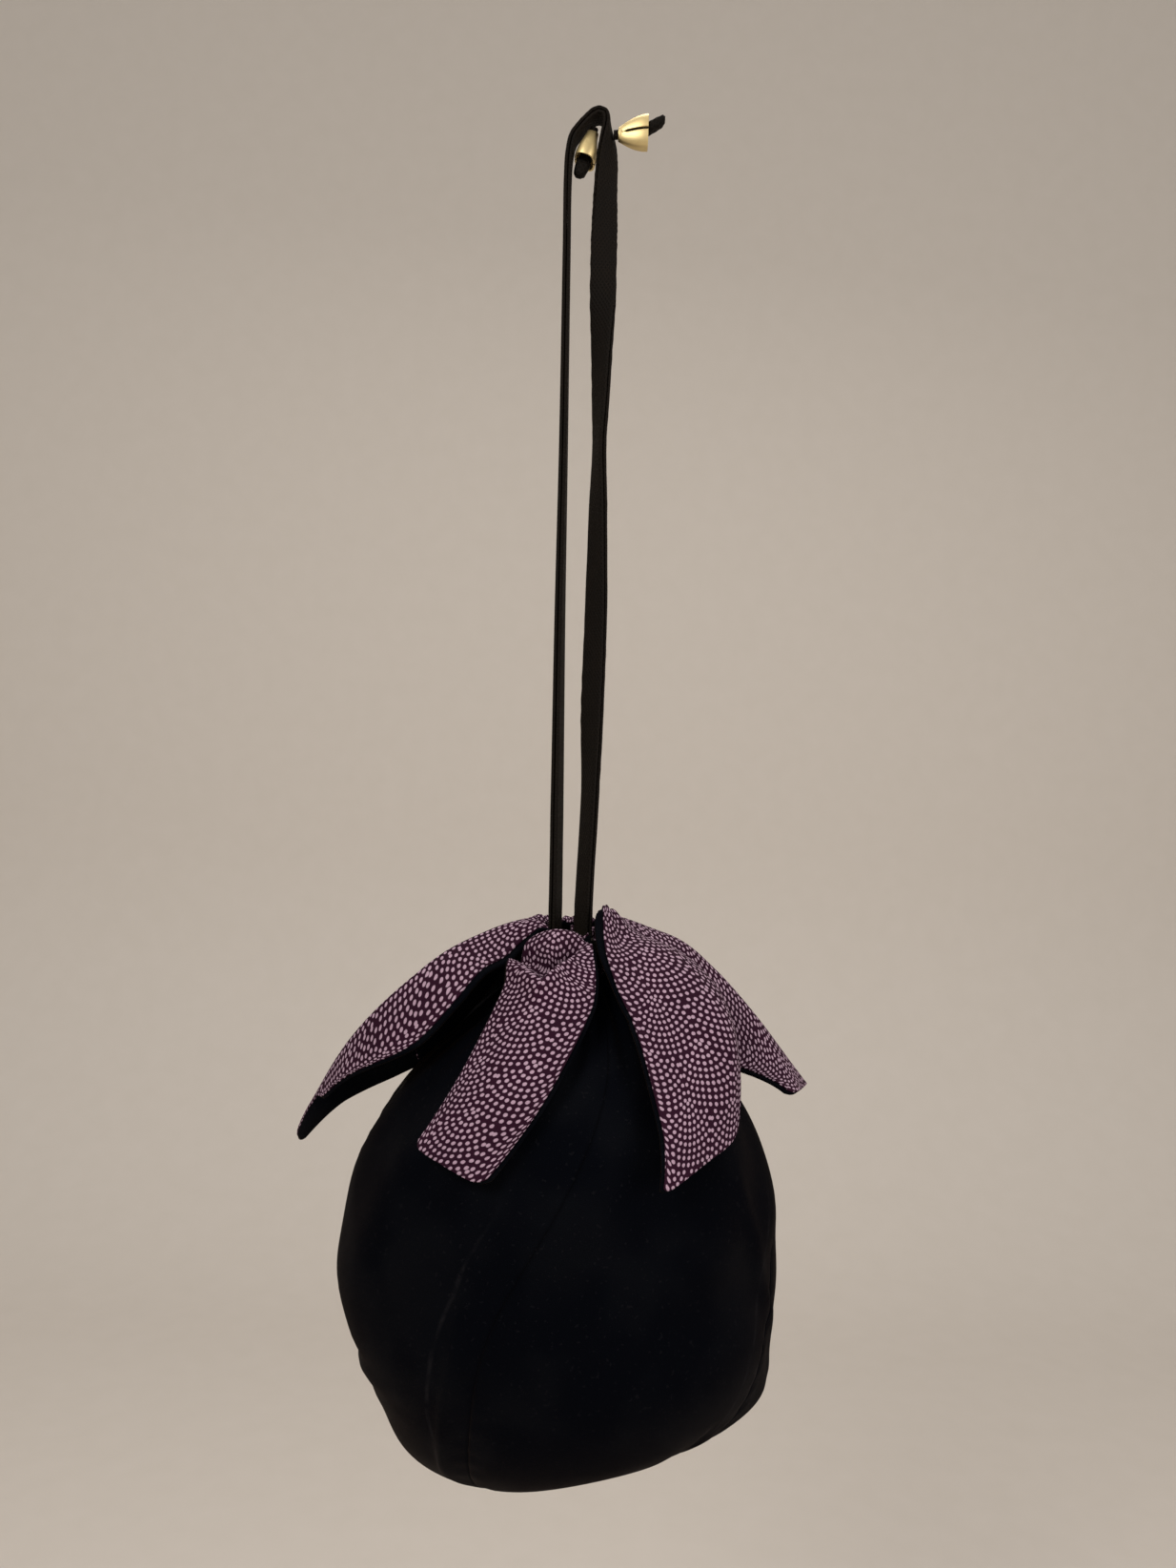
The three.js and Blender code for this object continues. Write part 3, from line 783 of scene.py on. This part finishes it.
def body_points(azimuth, t, swell, cloth_form):
    """Places on the body, swollen by millimetres at the waist and moved out by cloth_form."""
    depth, radius = profile(t)
    full = radius + swell * np.minimum(1, radius / HALF_WIDTH)
    turned = azimuth + twist(depth)
    full = full + cloth_form(azimuth, turned, depth, radius)
    points = polar(np.maximum(full, 0), turned, -MOUTH_DROP - depth)
    points[:, 1] *= mix(1, HALF_DEPTH / HALF_WIDTH, smooth(depth, NECK_DEPTH, WIDEST_DEPTH))
    tilt = math.tan(math.radians(BASE_TILT)) * smooth(depth, TILT_START, BASE_DEPTH)
    points[:, 2] += tilt * points[:, 0]
    points[:, 0] += WAIST_LEAN * smooth(depth, NECK_DEPTH, WIDEST_DEPTH)
    points[:, 0] += (BASE_LEAN - WAIST_LEAN) * smooth(depth, LEAN_START, LEAN_END)
    flattened = smooth(depth, BASE_FLAT_START, BASE_DEPTH)
    points[:, 2] += BASE_FLAT * flattened * bell(points[:, 0], BASE_FLAT_MIDDLE, BASE_FLAT_REACH)
    return points


# %% Folds of the velvet
PLEAT_COUNT = 36
PLEAT_HEIGHT = 1.3
FOLD_COUNT = 11
FOLD_HEIGHT = 1.1
SEAM_DIP = 0.5
PUCKER_HEIGHT = 0.22
PUCKER_RATE = 0.85
CREASE_DEPTHS = [91, 147, 197]
LONG_CREASE = [-15, -26, -47]
SIDE_CREASE = [54, 64, 88]
KINK_AZIMUTH = -86
KINK_WIDTH = 24
KINK_DENTS = [
    (2.4, 126, 26), (-1.7, 157, 3.6), (0.8, 162, 3.2), (-1.3, 167.5, 3.6), (-0.8, 176, 8), (4.0, 196, 16),
]
TUCK_AZIMUTH = 40
TUCK_HEIGHT = 3.4
CORNER_AZIMUTH = 84
CORNER_WIDTH = 26
SLACK_HEIGHT = 0.7


def around(azimuth, centre, width):
    """A soft mark round one azimuth, whichever way the angle is counted."""
    return bell((azimuth - centre + 180) % 360 - 180, 0, width)


def velvet_form(azimuth, turned, depth, radius):
    """How far the velvet stands out from the plain shape, in millimetres."""
    turn = np.radians(azimuth)
    gathered = 1 - smooth(depth, 18, 70)
    pleats = PLEAT_HEIGHT * gathered * np.cos(PLEAT_COUNT * turn + 0.9 * np.sin(5 * turn))
    hanging = smooth(depth, 20, 50) * (1 - smooth(depth, 90, 150))
    folds = FOLD_HEIGHT * hanging * np.sin(FOLD_COUNT * turn + 1.2 * np.sin(3 * turn) + 0.5)

    from_seam = np.abs((azimuth - SLIT_AZIMUTH + GORE_ANGLE / 2) % GORE_ANGLE - GORE_ANGLE / 2)
    arc = np.radians(from_seam) * radius
    sewn = smooth(depth, 46, 70) * smooth(radius, 3, 30)
    pucker = PUCKER_HEIGHT * np.sin(depth * PUCKER_RATE) * bell(arc, 3, 4)
    seam = sewn * (-SEAM_DIP * bell(arc, 0, 3.2) + pucker)

    low = smooth(radius, 4, 50)
    front = smooth(depth, 70, 100) * (1 - smooth(depth, 188, 208)) * low
    from_long = turned - np.interp(depth, CREASE_DEPTHS, LONG_CREASE)
    from_side = turned - np.interp(depth, CREASE_DEPTHS, SIDE_CREASE)
    ridge = front * (2.2 * bell(from_long, 0, 2.6) - 1.0 * bell(from_long, 8, 6))
    ridge = ridge + front * (0.9 * bell(from_side, 0, 3) - 0.5 * bell(from_side, -7, 6))

    kink = sum(height * bell(depth, place, width) for height, place, width in KINK_DENTS)
    kink = kink * low * around(turned, KINK_AZIMUTH, KINK_WIDTH)
    tuck = around(turned, TUCK_AZIMUTH, 1.9) + 0.5 * around(turned, TUCK_AZIMUTH - 6, 6)
    tuck = -TUCK_HEIGHT * tuck * low * smooth(depth, 186, 204)
    bulge = 8.0 * bell(depth, 203, 12) - 6.5 * bell(depth, 170, 23)
    corner = low * around(turned, CORNER_AZIMUTH, CORNER_WIDTH) * bulge
    wave = np.sin(depth * 0.11 + 2.3 * np.sin(turn)) * np.sin(2 * turn + 0.03 * depth)
    slack = low * SLACK_HEIGHT * wave
    return pleats + folds + seam + ridge + kink + tuck + corner + slack


# %% Panels
GORE_COUNT = 4
GORE_GRID = (72, 132)
GORE_CLOTH = (140, 268)
SEAM_GAP = 0.03


def gore_piece(number):
    seam = HALVES["left"] + (number - 1) * GORE_ANGLE
    half = "left" if number in (1, 2) else "right"

    def place(u, v):
        t = 2 * (1 - v)
        radius = profile(t)[1]
        margin = np.degrees(SEAM_GAP / np.maximum(radius, 1))
        azimuth = seam + mix(margin, GORE_ANGLE - margin, u)
        swell = GORE_SWELL * np.sin(np.pi * u)
        return body_points(azimuth, t, swell, velvet_form)

    bm = bmesh.new()
    cloth_patch(bm, *GORE_GRID, place, even_cloth(*GORE_CLOTH))
    weld(bm)
    nodes = [f"gore_{number}", f"gore_{number}_gather"]
    piece = make_piece(f"gore_{number}_velvet", bm, velvet, nodes, VELVET_THICKNESS)
    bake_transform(piece)
    print(piece.name, "area", round(layer_area(piece), 5))


for number in range(1, GORE_COUNT + 1):
    gore_piece(number)

# %% [markdown]
# ### The lining
#
# Inside the velvet hangs a plain lining of two panels, a little smaller than the velvet so that it takes no
# strain. It shows only through the mouth.

# %% Lining panels
LINING_SLACK = 4.2
LINING_CLEAR = 1.4
LINING_THICKNESS = 0.8
LINING_ENDS = (0.03, 1.97)
LINING_SIDES = (1.0, 179.0)
LINING_CRUMPLE = 0.5
LINING_GRID = (64, 60)
LINING_CLOTH = (270, 262)


def lining_piece(half, seam):
    def place(u, v):
        t = mix(*LINING_ENDS, 1 - v)
        azimuth = seam + mix(*LINING_SIDES, u)
        crumple = LINING_CRUMPLE * np.sin(9 * np.radians(azimuth) + 5 * t)

        def lining_form(*shape):
            behind = velvet_form(*shape) - VELVET_THICKNESS - LINING_CLEAR
            return np.minimum(crumple - LINING_SLACK, behind)

        return body_points(azimuth, t, 0.0, lining_form)

    bm = bmesh.new()
    cloth_patch(bm, *LINING_GRID, place, even_cloth(*LINING_CLOTH))
    nodes = [f"lining_{half}", f"lining_{half}_gather"]
    piece = make_piece(f"lining_{half}_cloth", bm, lining, nodes, LINING_THICKNESS)
    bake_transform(piece)
    print(piece.name, "area", round(layer_area(piece), 5))


for half, seam in HALVES.items():
    lining_piece(half, seam)

# %% [markdown]
# ## The collar
#
# The tunnel for the straps is a folded band round each half of the mouth, pulled into small pleats. It is a
# flat sleeve that is open at both slits. Its section is a loop, so the grid's short direction runs once
# round the sleeve and its long direction along the mouth.

# %% Collar
COLLAR_TOP = -340.7
COLLAR_FOOT_Z = -356.3
COLLAR_INNER = 12.0
COLLAR_OUTER = 15.8
COLLAR_PLEAT = 0.6
COLLAR_PLEATS = 30
COLLAR_SQUARENESS = 0.5
COLLAR_GRID = (32, 120)
COLLAR_CLOTH = (40, 48)
COLLAR_WALL = 0.7
SLIT_HALF_ANGLE = 20.0


def collar_piece(half, seam):
    def place(u, v):
        turn = 2 * np.pi * u
        out, up = (squared(wave(turn), COLLAR_SQUARENESS) for wave in (np.cos, np.sin))
        azimuth = seam + mix(SLIT_HALF_ANGLE, 180 - SLIT_HALF_ANGLE, v)
        pleat = COLLAR_PLEAT * np.cos(np.radians(azimuth) * COLLAR_PLEATS) * np.clip(out, 0, 1)
        radius = mix(COLLAR_INNER, COLLAR_OUTER, (out + 1) / 2) + pleat
        z = mix(COLLAR_FOOT_Z, COLLAR_TOP, (up + 1) / 2)
        return polar(radius, azimuth, z)

    bm = bmesh.new()
    cloth_patch(bm, *COLLAR_GRID, place, even_cloth(*COLLAR_CLOTH))
    weld(bm)
    piece = make_piece(f"collar_{half}_cloth", bm, printed, [f"collar_{half}"], COLLAR_WALL)
    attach(piece, f"mouth_{half}")
    print(piece.name, "area", round(layer_area(piece), 5))


for half, seam in HALVES.items():
    collar_piece(half, seam)

# %% [markdown]
# ## The petals
#
# A petal is a tongue of printed cotton backed with velvet, narrow and gathered at its root, broad and cut
# straight at its end. The backing is a little larger, so it shows as a dark edge. Both layers are bent from
# one rule: a spine that arches out of the mouth and falls, a width along it, and a hollow across it. Each
# petal then has its own stand, lean and folds, as the hand that shaped the bag left them.

# %% Petal shape
PETAL_ROOT_RADIUS = 14.5
PETAL_ROOT_DEPTH = -2.7
PETAL_ROOT_WIDTH = 13.0
PETAL_FULL_WIDTH = 42.0
PETAL_END_SHARE = 0.92
PETAL_END_FLAT = 0.5
PETAL_CORNER = 0.035
ROOT_CLOTH = 14.0
PRINT_SHIFTS = [(5, 12), (1, -21), (8, -9), (-4, 6), (9, 3), (2, 15)]
PRINT_THICKNESS = 0.6
BACKING_BEHIND = 1.0
BACKING_THICKNESS = 1.1
BACKING_REVEAL = 1.0
LYING = [(14.5, -2.7), (20, -4), (31.5, 4.5), (45, 20), (58, 38.5), (70, 57), (79.5, 76.5)]
STANDING = [(14.5, -2.7), (20.5, -5.5), (36, 0), (53, 9), (69, 23), (85, 43), (99, 66)]
PETAL_TRAITS = ("standing", "reach", "breadth", "slant", "swing", "drift", "roll", "arch", "open")
PETAL_ROWS = [
    (1.12, 1.08, 1.0, -0.7, -13, -6, 16, 13, 0.66),
    (0.15, 1.03, 0.9, 0.24, -10.5, -7, 0, 6, 0.44),
    (0.2, 1.02, 1.1, -0.5, -8, 0.5, 0, 5, 0.5),
    (1.12, 1.0, 1.0, 0.3, -3, -3, 22, 8, 0.6),
    (0.5, 1.0, 1.0, 0.1, -6, -3, 0, 7, 0.6),
    (0.7, 1.0, 1.0, 0.1, -11, -6, 0, 7, 0.6),
]
PETAL_SHAPES = [dict(zip(PETAL_TRAITS, row)) for row in PETAL_ROWS]
PETAL_ANGLE = 60.0
SPINE_STATIONS = 80
SPINE_STEP = 1e-3
FOLD_EDGE = 1.12
CLOTH_STATIONS = 121
SPREAD_STEPS = 20


def petal_half(number):
    return "left" if number in (1, 2, 6) else "right"


def root_azimuth(number):
    return SLIT_AZIMUTH + (number - 2.5) * PETAL_ANGLE


def half_width(number, s):
    shape = PETAL_SHAPES[number - 1]
    full = PETAL_FULL_WIDTH * shape["breadth"]
    width = mix(PETAL_ROOT_WIDTH, full, smooth(s, 0.04, shape["open"]))
    return mix(width, full * PETAL_END_SHARE, smooth(s, 0.7, 1)) / 2


def spine(number, s):
    shape = PETAL_SHAPES[number - 1]
    radius, depth = mix(spline(LYING, s), spline(STANDING, s), shape["standing"]).T
    radius = radius + (shape["reach"] - 1) * (radius - PETAL_ROOT_RADIUS)
    depth = depth + (shape["reach"] - 1) * (depth - PETAL_ROOT_DEPTH)
    turn = mix(shape["swing"], shape["drift"], smooth(s, 0.3, 1)) * smooth(s, 0, 0.3)
    azimuth = root_azimuth(number) + twist(np.maximum(depth, NECK_DEPTH)) + turn
    return polar(radius, azimuth, -MOUTH_DROP - depth), azimuth


def spine_length(number):
    return run_lengths(spine(number, np.linspace(0, 1, SPINE_STATIONS))[0])[-1]


# %% Folds of each petal
def petal_form(number, a, s):
    """How far the cloth moves: across the petal, off its face, upwards, along it and east; a is -1 to 1."""
    across, lift, ahead, east = (np.zeros_like(s) for _ in range(4))
    rise = 0.5 * np.sin(7 * s + 2 * a + number) * smooth(s, 0.2, 0.5)
    rise = rise + 0.7 * np.cos(3 * np.pi * a + number) * (1 - smooth(s, 0.06, 0.3))
    rise = rise + 0.6 * np.sin(16 * s + 1.7 * number) * smooth(np.abs(a), 0.6, 1) * smooth(s, 0.3, 0.6)
    if number == 1:
        far = smooth(-a, -0.2, 1)
        near = smooth(a, -0.1, 1)
        rolled = smooth(s, 0.7, 1)
        across = -0.62 * (a + 0.55) * half_width(number, s) * rolled
        lift = -20.0 * far * bell(s, 0.5, 0.3) - 5.0 * far * rolled - 19.5 * near * bell(s, 0.77, 0.22)
        ahead = smooth(s, 0.62, 1) * (18.0 * far - 8.0 * smooth(a, -0.4, 0.6))
        rise = rise + 5.0 * far * rolled
    elif number == 2:
        crease = 0.41 - 0.22 * np.maximum(a + 0.1, 0) - 0.08 * np.maximum(-a - 0.1, 0)
        rise = rise + 3.0 * bell(s, crease - 0.16, 0.09) * (1 - 0.4 * a * a)
        rise = rise - 7.5 * bell(s, crease, 0.035) * (1 - 0.95 * smooth(a, 0.2, 0.9))
        rise = rise + 4.0 * bell(s, crease + 0.07, 0.045) * (1 - smooth(a, 0.1, 0.7))
        lift = -8.0 * bell(s, 0.09, 0.1)
        across = 3.0 * bell(s, 0.18, 0.09) * (0.3 * a + 0.8 * np.maximum(-a, 0))
    elif number == 3:
        lift = 8.0 * bell(s, 0.09, 0.11) * smooth(-a, -1.8, 0.4)
        rise = rise - 2.6 * bell(s, 0.27, 0.05) * bell(a, -0.1, 0.6)
        rise = rise + 8.0 * smooth(a, -0.3, 0.6) * bell(s, 0.6, 0.24)
        across = 2.5 * a * bell(s, 0.3, 0.2) + 4.0 * smooth(-a, 0, 1) * (1 - smooth(s, 0.2, 0.6))
        across = across + 5.0 * smooth(a, 0, 1) * bell(s, 0.45, 0.2)
        east = 7.5 * smooth(a, 0, 0.8) * bell(s, 0.72, 0.2)
    elif number == 4:
        lift = (7.0 * smooth(s, 0.84, 1) - 21.0 * bell(s, 0.68, 0.2)) * smooth(-a, 0, 1)
        ahead = 4.0 * smooth(s, 0.75, 1) * smooth(-a, 0, 1)
    return across, rise, lift, ahead, east


def no_reveal(number, a, s):
    return np.zeros_like(s)


def backing_reveal(number, a, s):
    """How far the backing reaches past the print's long edges."""
    reveal = np.full_like(s, BACKING_REVEAL)
    if number == 3:
        reveal = reveal + 3.6 * (1 - smooth(s, 0.12, 0.4)) * (a < 0)
    return reveal


def petal_place(number, widen, behind):
    """The rule that bends one layer: widen adds to its half width, and behind sets it back from the face."""
    shape = PETAL_SHAPES[number - 1]

    def place(u, v):
        a = 2 * u - 1
        s = (1 - v) * (1 - PETAL_CORNER * a**8)
        point, azimuth = spine(number, s)
        after = spine(number, np.minimum(s + SPINE_STEP, 1))[0]
        before = spine(number, np.maximum(s - SPINE_STEP, 0))[0]
        along = unit(after - before)
        side = polar(1.0, azimuth + 90, 0.0)
        side = unit(side + along * (shape["slant"] * smooth(s, 0.05, 0.5))[:, None])
        up = unit(np.cross(along, side))
        roll = (math.radians(shape["roll"]) * smooth(s, 0.1, 0.6))[:, None]
        flat_side, flat_up = side, up
        side = flat_side * np.cos(roll) + flat_up * np.sin(roll)
        up = flat_up * np.cos(roll) - flat_side * np.sin(roll)
        half = half_width(number, s)
        arch = shape["arch"] * smooth(s, 0, 0.45) * (1 - PETAL_END_FLAT * smooth(s, 0.65, 1))
        spread = a * (half + widen(number, a, s))
        folded = np.clip(spread / half, -FOLD_EDGE, FOLD_EDGE)
        aside, rise, lift, ahead, east = petal_form(number, folded, s)
        offset = spread + aside
        height = rise - arch * (offset / half) ** 2 - behind
        moved = along * ahead[:, None] + np.stack([east, np.zeros_like(s), lift], axis=1)
        return point + side * offset[:, None] + up * height[:, None] + moved

    return place


def petal_flat(number, place):
    """The cloth's own lengths: along its middle over the folds, and across it with the root let out."""
    stations = np.linspace(0, 1, CLOTH_STATIONS)
    lengths = run_lengths(place(np.full_like(stations, 0.5), 1 - stations))
    slant = PETAL_SHAPES[number - 1]["slant"]

    def flat(u, v):
        s = 1 - v
        half = half_width(number, s)
        spread = np.zeros_like(s)
        before = place(np.full_like(u, 0.5), v)
        for share in np.linspace(0, 1, SPREAD_STEPS + 1)[1:]:
            here = place(0.5 + share * (u - 0.5), v)
            spread = spread + np.linalg.norm(here - before, axis=-1)
            before = here
        offset = np.sign(u - 0.5) * spread * (half**4 + ROOT_CLOTH**4) ** 0.25 / half
        lean = np.arctan(slant * smooth(s, 0.05, 0.5))
        along = np.interp(s, stations, lengths) + offset * np.sin(lean)
        return np.stack([offset * np.cos(lean), along], axis=-1) + PRINT_SHIFTS[number - 1]

    return flat


# %% Petals
ROOT_BLEND = (13.0, 27.0)
PRINT_GRID = (44, 96)
BACKING_GRID = (36, 80)


def petal_layer(number, node, material, place, grid, thickness):
    bm = bmesh.new()
    cloth_patch(bm, *grid, place, petal_flat(number, place))
    piece = make_piece(f"{node}_cloth", bm, material, [node], thickness)
    azimuth = root_azimuth(number)
    start, end = (tuple(polar(radius, azimuth, -MOUTH_DROP) * MM) for radius in ROOT_BLEND)
    f"mouth_{petal_half(number)}"
    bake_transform(piece)
    return piece


for number, shape in enumerate(PETAL_SHAPES, 1):
    face = petal_place(number, no_reveal, 0.0)
    back = petal_place(number, backing_reveal, BACKING_BEHIND)
    outer = petal_layer(
        number, f"petal_{number}_print", printed, face, PRINT_GRID, PRINT_THICKNESS
    )
    backing = petal_layer(
        number, f"petal_{number}_lining", velvet, back, BACKING_GRID, BACKING_THICKNESS
    )
    cut = (round(PETAL_FULL_WIDTH * shape["breadth"] * MM, 4), round(spine_length(number) * MM, 4))
    f"collar_{petal_half(number)}"
    print(outer.name, "cut", cut, "area", round(layer_area(outer), 5))

# %% [markdown]
# ## Floor and light
#
# The bag hangs in front of a pale sweep: a floor that curves up into a backdrop, so that no line runs behind
# it. Soft lamps stand to the left, to the right and above, with a pale world for the rest.

# %% Sweep
SWEEP_FLOOR = -1.0
SWEEP_BACK = 1.7
SWEEP_FRONT = 3.0
SWEEP_BEND = 0.6
SWEEP_RUN = 9.0
SWEEP_HALF_WIDTH = 5.0
SWEEP_GRID = (2, 120)

paper, shader, field = new_material("paper", Specular_IOR_Level=0.1)
fibre = noise(field, object_place(field), 30, 4.0)
connect(
    field,
    shader,
    Base_Color=fibre.colours(linear(206, 198, 189), linear(211, 203, 195)),
    Roughness=fibre.choose(0.85, 0.95),
)


def sweep_place(u, v):
    x = mix(-SWEEP_HALF_WIDTH, SWEEP_HALF_WIDTH, u)
    run = v * SWEEP_RUN
    flat_length = SWEEP_BACK - SWEEP_BEND + SWEEP_FRONT
    bend_length = SWEEP_BEND * np.pi / 2
    turn = np.clip((run - flat_length) / SWEEP_BEND, 0, np.pi / 2)
    y = np.minimum(run, flat_length) - SWEEP_FRONT + SWEEP_BEND * np.sin(turn)
    climb = np.maximum(0, run - flat_length - bend_length)
    z = SWEEP_FLOOR + SWEEP_BEND * (1 - np.cos(turn)) + climb
    return np.stack([x, y, z], axis=-1) / MM


bm = bmesh.new()
cloth_patch(bm, *SWEEP_GRID, sweep_place, even_cloth(1, 1))
mesh_object("sweep", bm, paper)

# %% Light
def soft_lamp(name, place, target, size, power, colour):
    data = bpy.data.lights.new(name, "AREA")
    data.shape = "DISK"
    data.size = size
    data.energy = power
    data.color = colour
    lamp = bpy.data.objects.new(name, data)
    back = unit(np.array(place, float) - np.array(target, float))
    right = unit(np.cross((0, 0, 1), back))
    turn = Matrix((right, np.cross(back, right), back)).transposed().to_4x4()
    lamp.matrix_world = Matrix.Translation(place) @ turn
    scene.collection.objects.link(lamp)


HANG_MIDDLE = (0, 0, -0.35)
WORLD_COLOUR = (0.9, 0.87, 0.83, 1)
WORLD_STRENGTH = 0.55

soft_lamp("key", (-0.7, -1.2, 0.5), HANG_MIDDLE, 0.7, 14.5, (1.0, 0.97, 0.92))
soft_lamp("fill", (1.2, -0.8, 0.0), HANG_MIDDLE, 0.9, 9, (1.0, 0.96, 0.93))
soft_lamp("top", (0.1, 0.3, 1.0), HANG_MIDDLE, 0.8, 8, (1.0, 0.98, 0.95))
world = bpy.data.worlds.new("studio")
world.use_nodes = True
background = world.node_tree.nodes["Background"]
background.inputs["Color"].default_value = WORLD_COLOUR
background.inputs["Strength"].default_value = WORLD_STRENGTH
scene.world = world
